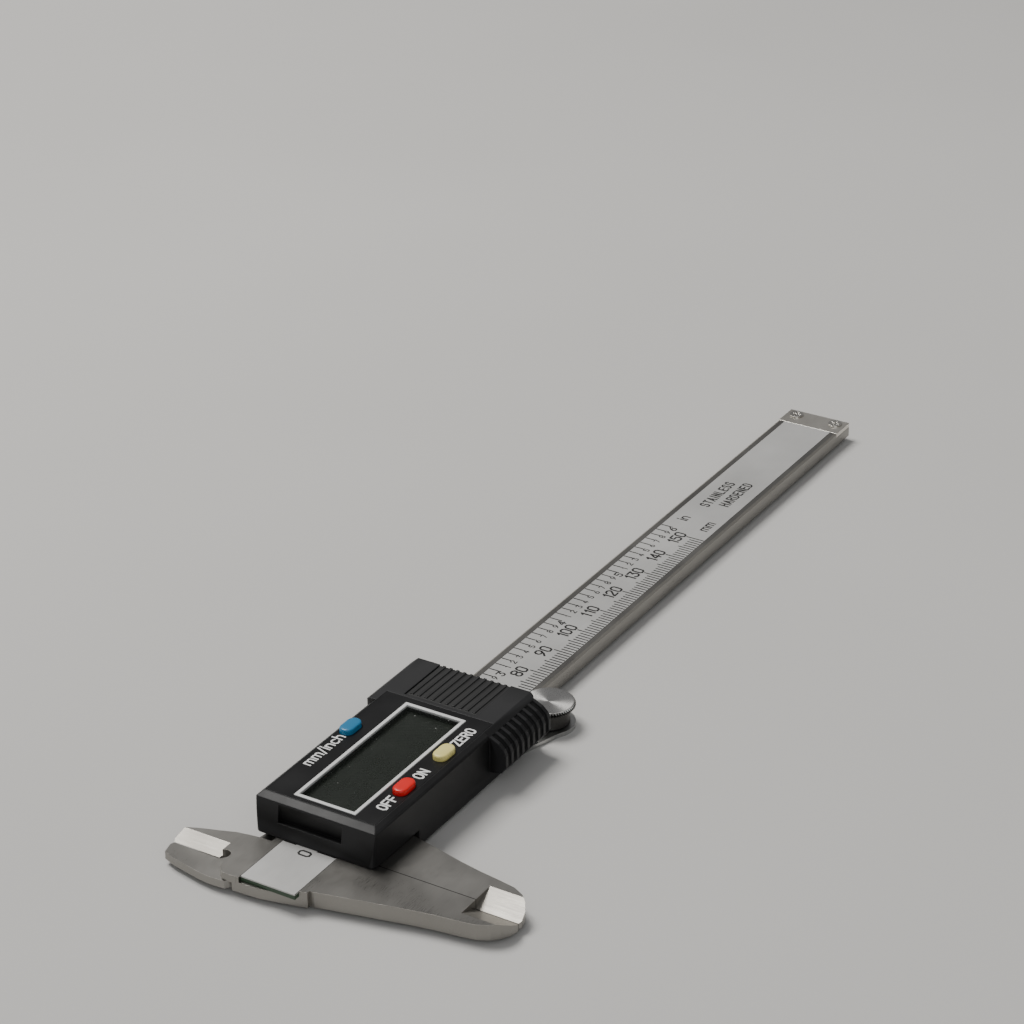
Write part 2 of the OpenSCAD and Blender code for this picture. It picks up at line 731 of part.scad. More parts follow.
module thumb_roller() {
  knurls = 40;
  r = roller_d / 2;
  color("silver") difference() {
    union() {
      translate([roller_x, roller_y, disc_z0]) linear_extrude(disc_z1 - disc_z0 - 0.25)
        polygon([for (i = [0 : 2 * knurls - 1])
          let (q = r - (i % 2) * 0.25) [q * cos(i * 180 / knurls), q * sin(i * 180 / knurls)]]);
      rod_z(roller_x, roller_y, disc_z0, disc_z1, roller_d - 0.6);
      rod_z(roller_x, roller_y, plate_t + 0.05, disc_z0 + 0.1, neck_d);
    }
    rod_z(roller_x, roller_y, 0, disc_z0 + 0.5, axle_d);
  }
}

module roller_axle() {
  color("dimgray") union() {
    rod_z(roller_x, roller_y, 0.05, disc_z0 + 0.5, axle_d);
    rod_z(roller_x, roller_y, 0.05, 0.45, axle_d + 1.2);
  }
}
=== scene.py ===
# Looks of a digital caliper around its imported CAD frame. Millimetres are turned into metres by MM.
import math

import bmesh
import bpy
from mathutils import Matrix, Vector


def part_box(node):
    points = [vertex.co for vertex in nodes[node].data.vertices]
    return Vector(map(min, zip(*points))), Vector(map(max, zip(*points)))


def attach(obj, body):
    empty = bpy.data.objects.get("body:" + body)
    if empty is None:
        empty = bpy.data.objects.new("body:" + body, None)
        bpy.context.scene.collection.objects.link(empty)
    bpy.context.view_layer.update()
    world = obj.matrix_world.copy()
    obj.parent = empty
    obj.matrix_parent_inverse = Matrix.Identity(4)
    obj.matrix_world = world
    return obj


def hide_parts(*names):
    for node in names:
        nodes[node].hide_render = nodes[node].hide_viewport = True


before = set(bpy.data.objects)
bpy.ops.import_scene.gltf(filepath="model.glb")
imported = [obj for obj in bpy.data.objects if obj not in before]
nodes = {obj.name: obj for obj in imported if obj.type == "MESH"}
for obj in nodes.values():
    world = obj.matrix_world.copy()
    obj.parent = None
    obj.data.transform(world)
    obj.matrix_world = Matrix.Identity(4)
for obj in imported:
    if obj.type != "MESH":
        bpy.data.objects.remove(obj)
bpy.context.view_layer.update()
MM = 0.001


# ---------------------------------------------------------------- places taken from the frame
def span(node):
    """The node's box in millimetres: ((x0, y0, z0), (x1, y1, z1))."""
    low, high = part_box(node)
    return tuple(c / MM for c in low), tuple(c / MM for c in high)


SCALE_LO, SCALE_HI = span("scale_cover")
LABEL_TOP = span("face_label")[1][2]
ROLLER_LO, ROLLER_HI = span("thumb_roller")
SCALE_MARGIN = 1.7
BEAM_EDGE = SCALE_LO[1] - SCALE_MARGIN
JOINT_SHADE_FADE = 0.5
# Sizes inside the replaced nodes, which their boxes do not tell
CAP_SIZE = (5.6, 3.2)
FLANGE_LOW = 10.5
FLANGE_TOP = 11.25
NECK_R = 4.55
AXLE_R = 1.0


# ---------------------------------------------------------------- camera, lights and floor
CAMERA_PLACE = Vector((-397.9, -291.8, 333.6)) * MM
CAMERA_AIM = Vector((145.76, 44.208, 0.0)) * MM
CAMERA_ROLL = math.radians(-0.7744)
CAMERA_LENS = 106.44


def camera():
    """Looks over the jaws along the beam, at the photograph's angle."""
    data = bpy.data.cameras.new("camera")
    data.lens = CAMERA_LENS
    data.sensor_width = 36.0
    data.clip_start = 0.01
    data.clip_end = 20.0
    cam = bpy.data.objects.new("camera", data)
    bpy.context.scene.collection.objects.link(cam)
    forward = (CAMERA_AIM - CAMERA_PLACE).normalized()
    right = forward.cross(Vector((0, 0, 1))).normalized()
    up = right.cross(forward)
    turn = Matrix((right, up, -forward)).transposed() @ Matrix.Rotation(CAMERA_ROLL, 3, "Z")
    cam.matrix_world = Matrix.Translation(CAMERA_PLACE) @ turn.to_4x4()
    bpy.context.scene.camera = cam


def area_light(name, at, target, size, power, colour=(1, 1, 1)):
    data = bpy.data.lights.new(name, "AREA")
    data.shape = "RECTANGLE"
    data.size, data.size_y = size
    data.energy = power
    data.color = colour
    light = bpy.data.objects.new(name, data)
    bpy.context.scene.collection.objects.link(light)
    light.location = at
    aim = Vector(target) - Vector(at)
    light.rotation_euler = aim.to_track_quat("-Z", "Y").to_euler()


def studio():
    world = bpy.data.worlds.new("studio")
    bpy.context.scene.world = world
    world.use_nodes = True
    tree = world.node_tree
    tree.nodes.clear()
    out = tree.nodes.new("ShaderNodeOutputWorld")
    back = tree.nodes.new("ShaderNodeBackground")
    ramp = tree.nodes.new("ShaderNodeValToRGB")
    coord = tree.nodes.new("ShaderNodeTexCoord")
    split = tree.nodes.new("ShaderNodeSeparateXYZ")
    tree.links.new(coord.outputs["Generated"], split.inputs[0])
    tree.links.new(split.outputs["Z"], ramp.inputs[0])
    ramp.color_ramp.elements[0].position = 0.15
    ramp.color_ramp.elements[0].color = (0.34, 0.34, 0.34, 1)
    ramp.color_ramp.elements[1].position = 0.85
    ramp.color_ramp.elements[1].color = (0.62, 0.62, 0.63, 1)
    tree.links.new(ramp.outputs["Color"], back.inputs["Color"])
    back.inputs["Strength"].default_value = 0.42
    tree.links.new(back.outputs["Background"], out.inputs["Surface"])
    centre = (0.06, 0.0, 0.0)
    area_light("key", (0.17, 0.56, 1.06), centre, (0.55, 0.55), 13, (1.0, 0.985, 0.96))
    area_light("fill", (-0.95, -0.75, 0.75), centre, (1.1, 1.1), 4.5, (0.95, 0.98, 1.0))


def floor():
    side = 6.0
    mesh = bpy.data.meshes.new("floor")
    mesh.from_pydata([(-side, -side, 0), (side, -side, 0), (side, side, 0), (-side, side, 0)],
                     [], [(0, 1, 2, 3)])
    obj = bpy.data.objects.new("floor", mesh)
    bpy.context.scene.collection.objects.link(obj)
    obj.data.materials.append(floor_paint())


# ---------------------------------------------------------------- material helpers
class Paint:
    """A node material with short calls for the nodes used here."""

    def __init__(self, name):
        self.mat = bpy.data.materials.new(name)
        self.mat.use_nodes = True
        self.tree = self.mat.node_tree
        self.shader = self.tree.nodes["Principled BSDF"]
        self.coord = self.tree.nodes.new("ShaderNodeTexCoord")

    def node(self, kind, **values):
        made = self.tree.nodes.new("ShaderNode" + kind)
        for key, value in values.items():
            setattr(made, key, value)
        return made

    def link(self, a, b):
        self.tree.links.new(a, b)

    def place(self, scale=(1, 1, 1), turn=(0, 0, 0)):
        """Object coordinates, in millimetres, stretched by scale."""
        mapping = self.node("Mapping")
        mapping.inputs["Scale"].default_value = [s / MM for s in scale]
        mapping.inputs["Rotation"].default_value = turn
        self.link(self.coord.outputs["Object"], mapping.inputs["Vector"])
        return mapping.outputs["Vector"]

    def noise(self, scale=1.0, detail=3.0, stretch=(1, 1, 1), turn=(0, 0, 0), rough=0.5):
        """Noise with about `scale` features per millimetre."""
        made = self.node("TexNoise")
        made.inputs["Scale"].default_value = scale
        made.inputs["Detail"].default_value = detail
        made.inputs["Roughness"].default_value = rough
        self.link(self.place(stretch, turn), made.inputs["Vector"])
        return made.outputs["Fac"]

    def remap(self, value, low, high, to_low, to_high):
        made = self.node("MapRange")
        made.inputs["From Min"].default_value = low
        made.inputs["From Max"].default_value = high
        made.inputs["To Min"].default_value = to_low
        made.inputs["To Max"].default_value = to_high
        self.link(value, made.inputs["Value"])
        return made.outputs["Result"]

    def mix(self, fac, a, b):
        """A colour between a and b."""
        made = self.node("Mix", data_type="RGBA")
        if isinstance(fac, (int, float)):
            made.inputs[0].default_value = fac
        else:
            self.link(fac, made.inputs[0])
        for socket, value in ((made.inputs[6], a), (made.inputs[7], b)):
            if isinstance(value, tuple):
                socket.default_value = (*value, 1)
            else:
                self.link(value, socket)
        return made.outputs[2]

    def math(self, operation, a, b=0.0):
        made = self.node("Math", operation=operation)
        for socket, value in zip(made.inputs, (a, b)):
            if isinstance(value, (int, float)):
                socket.default_value = value
            else:
                self.link(value, socket)
        return made.outputs[0]

    def edge(self, low=0.5, high=0.62):
        """1 on convex edges, 0 elsewhere."""
        geometry = self.node("NewGeometry")
        return self.remap(geometry.outputs["Pointiness"], low, high, 0.0, 1.0)

    def rounded(self, radius):
        """The normal with edges rounded by radius millimetres."""
        made = self.node("Bevel")
        made.samples = 6
        made.inputs["Radius"].default_value = radius * MM
        return made.outputs["Normal"]

    def bump(self, height, strength, distance, before=None):
        made = self.node("Bump")
        made.inputs["Strength"].default_value = strength
        made.inputs["Distance"].default_value = distance * MM
        self.link(height, made.inputs["Height"])
        if before is not None:
            self.link(before, made.inputs["Normal"])
        return made.outputs["Normal"]

    def finish(self, colour=None, roughness=None, normal=None, metallic=None, **constants):
        for socket, value in (("Base Color", colour), ("Roughness", roughness), ("Normal", normal),
                              ("Metallic", metallic)):
            if value is None:
                continue
            if isinstance(value, (int, float)):
                self.shader.inputs[socket].default_value = value
            elif isinstance(value, tuple):
                self.shader.inputs[socket].default_value = (*value, 1)
            else:
                self.link(value, self.shader.inputs[socket])
        for socket, value in constants.items():
            self.shader.inputs[socket.replace("_", " ")].default_value = value
        return self.mat


def floor_paint():
    p = Paint("floor")
    tone = p.remap(p.noise(0.004, 3), 0.3, 0.7, 0.0, 1.0)
    return p.finish(p.mix(tone, (0.60, 0.59, 0.57), (0.64, 0.63, 0.61)), 0.85,
                    Specular_IOR_Level=0.2)


def ground_facets(p, colour, roughness):
    """Changes colour and roughness on faces that slope by about 22 to 53 degrees."""
    split = p.node("SeparateXYZ")
    p.link(p.node("NewGeometry").outputs["True Normal"], split.inputs[0])
    not_level = p.remap(split.outputs["Z"], 0.93, 0.97, 1.0, 0.0)
    not_upright = p.remap(split.outputs["Z"], 0.5, 0.6, 0.0, 1.0)
    sloped = p.math("MULTIPLY", not_level, not_upright)
    wheel = p.noise(1.6, 3, (2.0, 0.08, 1.0))
    colour = p.mix(sloped, colour, p.mix(wheel, (0.33, 0.315, 0.285), (0.52, 0.495, 0.45)))
    coarse = p.remap(wheel, 0.3, 0.7, 0.12, 0.22)
    return colour, p.math("ADD", roughness, p.math("MULTIPLY", sloped, coarse))


def dark_joint(p, colour):
    """Painted shade: a fine dark line along the contact plane X = 0 of the outside jaws, standing in
    for the shade in the seam between them.
    """
    at = p.node("SeparateXYZ")
    p.link(p.place(), at.inputs[0])
    seam_shade = p.remap(p.math("ABSOLUTE", at.outputs["X"]), 0.05, 0.13, 1.0, 0.0)
    on_jaw = p.remap(at.outputs["Y"], BEAM_EDGE - JOINT_SHADE_FADE, BEAM_EDGE, 1.0, 0.0)
    return p.mix(p.math("MULTIPLY", seam_shade, on_jaw), colour, (0.03, 0.03, 0.03))


def steel(name, dark, light, rough, grain=(0.05, 2.0, 2.0), metallic=1.0, grain_bump=0.03,
          soft=0.06, facets=False):
    """Ground steel: fine grinding lines along the small axis of grain, and faint stains.

    With facets, sloping faces are coarser and warmer, as left by a wheel, and a painted shade darkens
    the line where the outside jaws meet, for the shade in the seam between them.
    """
    p = Paint(name)
    lines = p.noise(2.5, 4, grain, rough=0.6)
    fine = p.noise(9.0, 2, grain)
    stain = p.noise(0.06, 4)
    tone = p.math("ADD", p.remap(lines, 0.3, 0.7, 0.0, 0.3), p.remap(stain, 0.3, 0.7, 0.0, 0.7))
    colour = p.mix(tone, dark, light)
    roughness = p.math("ADD", p.remap(stain, 0.3, 0.7, rough - 0.05, rough + 0.05),
                       p.remap(fine, 0.3, 0.7, -0.04, 0.05))
    if facets:
        colour, roughness = ground_facets(p, colour, roughness)
        # painted shade along the seam between the outside jaws
        colour = dark_joint(p, colour)
    height = p.math("ADD", p.math("MULTIPLY", fine, 0.5), lines)
    normal = p.bump(height, grain_bump, 0.02, p.rounded(soft))
    return p.finish(colour, roughness, normal, metallic)


def plastic(name, dark, light, rough, grain=5.0, grain_depth=0.012, edge_highlight=None, soft=0.12,
            **constants):
    """Moulded plastic with a fine texture and slight blotches, and, where an edge colour is given, a
    painted highlight along convex edges.
    """
    p = Paint(name)
    blotch = p.noise(0.12, 4)
    texture = p.noise(grain, 3, rough=0.6)
    colour = p.mix(p.remap(blotch, 0.3, 0.7, 0.0, 1.0), dark, light)
    # painted highlight: convex edges found by pointiness are lightened towards the edge colour
    if edge_highlight is not None:
        colour = p.mix(p.edge(0.505, 0.60), colour, edge_highlight)
    roughness = p.math("ADD", p.remap(blotch, 0.3, 0.7, rough - 0.04, rough + 0.05),
                       p.remap(texture, 0.3, 0.7, -0.03, 0.03))
    normal = p.bump(texture, 0.35, grain_depth, p.rounded(soft) if soft else None)
    return p.finish(colour, roughness, normal, 0.0, **constants)


def ink_paint(name, thin, thick):
    """Printed ink: flat and matt, a little uneven in strength."""
    p = Paint(name)
    strength = p.remap(p.noise(3.0, 3), 0.3, 0.7, 0.0, 1.0)
    rough = p.remap(p.noise(0.8, 2), 0.3, 0.7, 0.5, 0.62)
    return p.finish(p.mix(strength, thin, thick), rough, Specular_IOR_Level=0.3)


# ---------------------------------------------------------------- shapes
def link(mesh, name, body, replaces=()):
    obj = bpy.data.objects.new(name, mesh)
    bpy.context.scene.collection.objects.link(obj)
    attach(obj, body)
    if replaces:
        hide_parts(*replaces)
    return obj


def crease_group(angle=13):
    """Geometry nodes: smooth shading with sharp edges where faces meet at more than the angle."""
    group = bpy.data.node_groups.new("crease", "GeometryNodeTree")
    group.interface.new_socket("Geometry", in_out="INPUT", socket_type="NodeSocketGeometry")
    group.interface.new_socket("Geometry", in_out="OUTPUT", socket_type="NodeSocketGeometry")
    entry = group.nodes.new("NodeGroupInput")
    leave = group.nodes.new("NodeGroupOutput")
    clear = group.nodes.new("GeometryNodeRemoveAttribute")
    clear.inputs["Name"].default_value = "custom_normal"
    faces = group.nodes.new("GeometryNodeSetShadeSmooth")
    faces.domain = "FACE"
    edges = group.nodes.new("GeometryNodeSetShadeSmooth")
    edges.domain = "EDGE"
    bend = group.nodes.new("GeometryNodeInputMeshEdgeAngle")
    soft = group.nodes.new("FunctionNodeCompare")
    soft.data_type = "FLOAT"
    soft.operation = "LESS_THAN"
    soft.inputs[1].default_value = math.radians(angle)
    group.links.new(bend.outputs["Unsigned Angle"], soft.inputs[0])
    group.links.new(soft.outputs[0], edges.inputs["Shade Smooth"])
    for a, b in ((entry, clear), (clear, faces), (faces, edges), (edges, leave)):
        group.links.new(a.outputs[0], b.inputs[0])
    return group


CREASE = crease_group()
CRISP_ANGLE = math.radians(14)


def crisp(node, bevel):
    """Small rounded edges on a CAD node, from modifiers only; the faces themselves stay flat."""
    obj = nodes[node]
    weld = obj.modifiers.new("weld", "WELD")
    weld.merge_threshold = 0.002 * MM
    flat = obj.modifiers.new("flat", "DECIMATE")
    flat.decimate_type = "DISSOLVE"
    flat.angle_limit = math.radians(0.6)
    crease = obj.modifiers.new("crease", "NODES")
    crease.node_group = CREASE
    edges = obj.modifiers.new("edges", "BEVEL")
    edges.width = bevel * MM
    edges.segments = 2
    edges.limit_method = "ANGLE"
    edges.angle_limit = CRISP_ANGLE
    edges.use_clamp_overlap = True
    edges.harden_normals = True


def paint_node(node, material):
    obj = nodes[node]
    obj.data.materials.clear()
    obj.data.materials.append(material)


# Strokes of a plain technical lettering, on a grid 4 wide and 6 high
GLYPHS = {
    "0": [[(1, 0), (3, 0), (4, 1), (4, 5), (3, 6), (1, 6), (0, 5), (0, 1), (1, 0)]],
    "1": [[(1, 4.8), (2.2, 6), (2.2, 0)]],
    "2": [[(0, 5), (1, 6), (3, 6), (4, 5), (4, 4), (0, 0.6), (0, 0), (4, 0)]],
    "3": [[(0, 6), (4, 6), (2, 3.6), (3, 3.6), (4, 2.7), (4, 1), (3, 0), (1, 0), (0, 1)]],
    "4": [[(3, 0), (3, 6), (0, 2), (0, 1.6), (4.2, 1.6)]],
    "5": [[(4, 6), (0.4, 6), (0.2, 3.4), (3, 3.4), (4, 2.5), (4, 1), (3, 0), (1, 0), (0, 0.8)]],
    "6": [[(3.6, 6), (1.4, 4.4), (0, 2.4), (0, 1), (1, 0), (3, 0), (4, 1), (4, 2.4), (3, 3.4),
           (1, 3.4), (0.1, 2.5)]],
    "7": [[(0, 6), (4, 6), (4, 5.4), (1.4, 0)]],
    "8": [[(1, 3.2), (0, 4), (0, 5.2), (1, 6), (3, 6), (4, 5.2), (4, 4), (3, 3.2), (1, 3.2), (0, 2.3),
           (0, 1), (1, 0), (3, 0), (4, 1), (4, 2.3), (3, 3.2)]],
    "9": [[(0.4, 0), (2.6, 1.6), (4, 3.6), (4, 5), (3, 6), (1, 6), (0, 5), (0, 3.6), (1, 2.6),
           (3, 2.6), (3.9, 3.5)]],
    "A": [[(0, 0), (2, 6), (4, 0)], [(0.7, 2), (3.3, 2)]],
    "D": [[(0, 0), (0, 6), (2.6, 6), (4, 4.6), (4, 1.4), (2.6, 0), (0, 0)]],
    "E": [[(4, 0), (0, 0), (0, 6), (4, 6)], [(0, 3.1), (3.4, 3.1)]],
    "F": [[(0, 0), (0, 6), (4, 6)], [(0, 3.1), (3.4, 3.1)]],
    "H": [[(0, 0), (0, 6)], [(4, 0), (4, 6)], [(0, 3.1), (4, 3.1)]],
    "I": [[(0.5, 0), (0.5, 6)]],
    "L": [[(0, 6), (0, 0), (3.8, 0)]],
    "N": [[(0, 0), (0, 6), (4, 0), (4, 6)]],
    "O": [[(1.2, 0), (2.8, 0), (4, 1.4), (4, 4.6), (2.8, 6), (1.2, 6), (0, 4.6), (0, 1.4), (1.2, 0)]],
    "R": [[(0, 0), (0, 6), (3, 6), (4, 5.2), (4, 3.9), (3, 3.1), (0, 3.1)], [(2.2, 3.1), (4, 0)]],
    "S": [[(4, 5), (3, 6), (1, 6), (0, 5), (0, 4), (1, 3.2), (3, 2.9), (4, 2.1), (4, 1), (3, 0),
           (1, 0), (0, 1)]],
    "T": [[(0, 6), (4, 6)], [(2, 6), (2, 0)]],
    "Z": [[(0, 6), (4, 6), (0, 0), (4, 0)]],
    "c": [[(3.6, 3.6), (2.8, 4.2), (1, 4.2), (0, 3.2), (0, 1), (1, 0), (2.8, 0), (3.6, 0.6)]],
    "h": [[(0, 0), (0, 6.2)], [(0, 3.2), (1.1, 4.2), (2.6, 4.2), (3.6, 3.2), (3.6, 0)]],
    "i": [[(0, 0), (0, 4.2)], [(0, 5.6), (0, 6.2)]],
    "m": [[(0, 0), (0, 4.2)], [(0, 3.3), (0.9, 4.2), (2.2, 4.2), (3, 3.4), (3, 0)],
          [(3, 3.4), (3.9, 4.2), (5.2, 4.2), (6, 3.4), (6, 0)]],
    "n": [[(0, 0), (0, 4.2)], [(0, 3.2), (1.1, 4.2), (2.6, 4.2), (3.6, 3.2), (3.6, 0)]],
    "/": [[(0, -0.6), (2.6, 6.4)]],
}
GLYPH_WIDTH = {"1": 2.4, "I": 1.0, "i": 0.0, "m": 6.0, "/": 2.6, "c": 3.6, "h": 3.6, "n": 3.6}


class Print:
    """Thin printed marks, all in one mesh. Lengths in millimetres."""

    def __init__(self, z, lift=0.02):
        self.bm = bmesh.new()
        self.z0 = z - 0.01
        self.z1 = z + lift
        self.count = 0

    def quad(self, corners):
        # crossing strokes end at slightly different heights, so that their tops never coincide
        top_z = self.z1 + 0.0004 * (self.count % 7)
        self.count += 1
        low = [self.bm.verts.new((x * MM, y * MM, self.z0 * MM)) for x, y in corners]
        top = [self.bm.verts.new((x * MM, y * MM, top_z * MM)) for x, y in corners]
        self.bm.faces.new(top)
        self.bm.faces.new(low[::-1])
        for i in range(len(corners)):
            j = (i + 1) % len(corners)
            self.bm.faces.new((low[i], low[j], top[j], top[i]))

    def bar(self, x0, y0, x1, y1):
        self.quad([(x0, y0), (x1, y0), (x1, y1), (x0, y1)])

    def stroke(self, points, width):
        """A band along a line of points, with round joints and square ends."""
        half = width / 2
        for i, (a, b) in enumerate(zip(points, points[1:])):
            along = Vector((b[0] - a[0], b[1] - a[1])).normalized()
            side = Vector((-along.y, along.x)) * half
            first = i == 0
            last = i == len(points) - 2
            p0 = Vector(a) - along * (half if first else 0.0)
            p1 = Vector(b) + along * (half if last else 0.0)
            self.quad([tuple(p0 - side), tuple(p1 - side), tuple(p1 + side), tuple(p0 + side)])
            if not first:
                self.disc(a, half)

    def disc(self, centre, radius, sides=10):
        turns = [2 * math.pi * k / sides for k in range(sides)]
        self.quad([(centre[0] + radius * math.cos(t), centre[1] + radius * math.sin(t))
                   for t in turns])

    def text(self, words, centre, height, width, gap=1.6, wide=1.0):
        """Letters with their upright along +Y, reading along +X, about a centre point."""
        unit = height / 6
        length = sum(GLYPH_WIDTH.get(c, 4.0) * wide + gap for c in words) - gap
        x = centre[0] - length * unit / 2
        y = centre[1] - height / 2
        for c in words:
            for line in GLYPHS.get(c, []):
                self.stroke([(x + px * unit * wide, y + py * unit) for px, py in line], width)
            x += (GLYPH_WIDTH.get(c, 4.0) * wide + gap) * unit

    def mesh(self, name):
        bmesh.ops.recalc_face_normals(self.bm, faces=self.bm.faces)
        made = bpy.data.meshes.new(name)
        self.bm.to_mesh(made)
        self.bm.free()
        return made


# ---------------------------------------------------------------- materials
BEAM_STEEL = steel("beam_steel", (0.28, 0.27, 0.252), (0.335, 0.325, 0.305), 0.33, grain_bump=0.005,
                   soft=0.02, facets=True)
JAW_STEEL = steel("jaw_steel", (0.29, 0.28, 0.262), (0.345, 0.335, 0.315), 0.33, grain_bump=0.005,
                  soft=0.02, facets=True)
SCALE_PRINT = steel("scale_print", (0.50, 0.495, 0.48), (0.60, 0.595, 0.58), 0.44, metallic=0.35,
                    grain_bump=0.04, soft=0.03)
END_STEEL = steel("end_steel", (0.66, 0.63, 0.57), (0.80, 0.77, 0.71), 0.34)
PLATE_STEEL = steel("plate_steel", (0.45, 0.45, 0.44), (0.6, 0.6, 0.59), 0.33)
ROD_STEEL = steel("rod_steel", (0.45, 0.45, 0.44), (0.58, 0.58, 0.57), 0.3)
SCREW_STEEL = steel("screw_steel", (0.58, 0.56, 0.52), (0.74, 0.72, 0.68), 0.26, (1, 1, 1))
CHROME = steel("cell_chrome", (0.66, 0.65, 0.63), (0.84, 0.83, 0.81), 0.2, (1, 1, 1))
BRASS = steel("gib_brass", (0.55, 0.38, 0.14), (0.72, 0.52, 0.22), 0.35)
# the edge colours of the head and cover plastics are painted highlights on their convex edges
HEAD_PLASTIC = plastic("head_plastic", (0.005, 0.005, 0.0052), (0.008, 0.008, 0.0083), 0.47,
                       edge_highlight=(0.022, 0.022, 0.023), soft=0.3, Specular_IOR_Level=0.32)
COVER_PLASTIC = plastic("cover_plastic", (0.005, 0.005, 0.0052), (0.008, 0.008, 0.0083), 0.48,
                        edge_highlight=(0.028, 0.028, 0.028), soft=0.12, Specular_IOR_Level=0.34)
LABEL = plastic("label_film", (0.004, 0.004, 0.0045), (0.006, 0.006, 0.0065), 0.38, 8.0, 0.003,
                Specular_IOR_Level=0.3)
WHITE_FRAME = plastic("lcd_frame_white", (0.72, 0.72, 0.71), (0.80, 0.80, 0.79), 0.4)
INK = ink_paint("printed_black", (0.012, 0.012, 0.012), (0.022, 0.021, 0.02))
WHITE_INK = ink_paint("printed_white", (0.80, 0.80, 0.79), (0.88, 0.88, 0.87))
BLUE = plastic("button_blue", (0.018, 0.18, 0.36), (0.028, 0.22, 0.42), 0.32, 6.0, 0.003)
CREAM = plastic("button_cream", (0.82, 0.71, 0.23), (0.88, 0.79, 0.31), 0.32, 6.0, 0.003)
RED = plastic("button_red", (0.74, 0.008, 0.006), (0.82, 0.014, 0.010), 0.32, 6.0, 0.003)
LCD = plastic("lcd_off", (0.022, 0.027, 0.021), (0.024, 0.029, 0.023), 0.3, 1.0, 0.0001,
              soft=0)
PALE_PLASTIC = plastic("holder_plastic", (0.6, 0.6, 0.56), (0.7, 0.7, 0.66), 0.5)
RUBBER = plastic("zebra_rubber", (0.05, 0.05, 0.055), (0.1, 0.1, 0.11), 0.7)
GREEN = plastic("board_green", (0.025, 0.055, 0.03), (0.04, 0.075, 0.04), 0.4)
BLACK_CHIP = plastic("chip_black", (0.02, 0.02, 0.02), (0.03, 0.03, 0.03), 0.5)


def clear_window():
    """Thin clear plastic in front of the display, with faint smears and specks of dust."""
    p = Paint("window_clear")
    smear = p.noise(0.15, 4, (1, 0.3, 1), (0, 0, 0.6))
    dust = p.remap(p.noise(1.6, 2, rough=0.3), 0.765, 0.785, 0.0, 1.0)
    roughness = p.remap(smear, 0.35, 0.7, 0.15, 0.17)
    colour = p.mix(dust, (0.02, 0.025, 0.02), (0.5, 0.5, 0.48))
    alpha = p.math("ADD", p.remap(smear, 0.3, 0.7, 0.15, 0.16), p.math("MULTIPLY", dust, 0.5))
    p.link(alpha, p.shader.inputs["Alpha"])
    return p.finish(colour, roughness, p.bump(smear, 0.02, 0.005), 0.0)


def turned_chrome():
    """Chrome turned on a lathe: the highlights fan out from the middle."""
    p = Paint("roller_turned")
    fan = p.node("Tangent", direction_type="RADIAL", axis="Z")
    p.link(fan.outputs["Tangent"], p.shader.inputs["Tangent"])
    stain = p.noise(0.35, 3)
    fine = p.noise(7.0, 3)
    colour = p.mix(p.remap(stain, 0.3, 0.7, 0.0, 1.0), (0.60, 0.59, 0.57), (0.72, 0.71, 0.69))
    roughness = p.remap(fine, 0.3, 0.7, 0.26, 0.34)
    normal = p.bump(fine, 0.08, 0.01, p.rounded(0.06))
    return p.finish(colour, roughness, normal, 1.0, Anisotropic=0.85)


# painted shade: a near-black steel laid on the roller's neck and knurl grooves, which are in shade
PAINTED_SHADE_STEEL = steel("roller_painted_shade", (0.045, 0.044, 0.042), (0.08, 0.078, 0.075), 0.4, (1, 1, 1))
WINDOW = clear_window()
TURNED = turned_chrome()


# ---------------------------------------------------------------- pieces
SCALE_ZERO = -2.0
LAST_MM = 150
INCH = 25.4
LAST_TENTH = 60
TICK_HALF = 0.165
TICK_INSET = 0.12


def mm_ticks(ink, near):
    """Millimetre graduations along the near edge, with a number at every tenth one."""
    for mm in range(LAST_MM + 1):
        x = SCALE_ZERO + mm
        length = 4.5 if mm % 10 == 0 else 3.9 if mm % 5 == 0 else 3.2
        ink.bar(x - TICK_HALF, near, x + TICK_HALF, near + length)
        if mm % 10 == 0:
            ink.text(str(mm), (x - 1.7, 0.0), 2.5, 0.46, 1.6, 0.84)


def inch_ticks(ink, far):
    """Graduations of a tenth of an inch along the far edge, each but the first with its number."""
    for tenth in range(LAST_TENTH + 1):
        x = SCALE_ZERO + tenth * INCH / 10
        whole = tenth % 10 == 0
        length = 3.0 if whole else 2.3
        ink.bar(x - TICK_HALF, far - length, x + TICK_HALF, far)
        if whole and tenth:
            ink.text(str(tenth // 10), (x - 0.8, far - 3.35), 1.8, 0.35, 1.3, 0.9)
        elif not whole:
            ink.text(str(tenth % 10), (x - 0.2, far - 3.1), 1.3, 0.25, 1.5, 0.9)


def scale_marks():
    """Graduations, numbers and words of the beam, and painted shadow lines along both edges of the
    scale, where the gap beside it is in shade.
    """
    ink = Print(SCALE_HI[2], 0.012)
    mm_ticks(ink, SCALE_LO[1] + TICK_INSET)
    inch_ticks(ink, SCALE_HI[1] - TICK_INSET)
    for words, centre, height, width, gap, wide in (
            ("in", (155.8, 3.2), 2.3, 0.36, 1.6, 0.85),
            ("mm", (154.6, -3.4), 2.3, 0.36, 1.6, 0.8),
            ("STAINLESS", (170.4, 2.1), 2.2, 0.40, 1.9, 0.66),
            ("HARDENED", (172.3, -1.9), 2.2, 0.40, 1.8, 0.69)):
        ink.text(words, centre, height, width, gap, wide)
    # painted shadow: thin dark bars in the printed ink along both edges of the scale cover
    half_shadow_line = 0.05
    for side in (SCALE_LO[1], SCALE_HI[1]):
        ink.bar(SCALE_LO[0], side - half_shadow_line, SCALE_HI[0], side + half_shadow_line)
    made = link(ink.mesh("scale_marks"), "scale_marks", "fixed_beam")
    made.data.materials.append(INK)


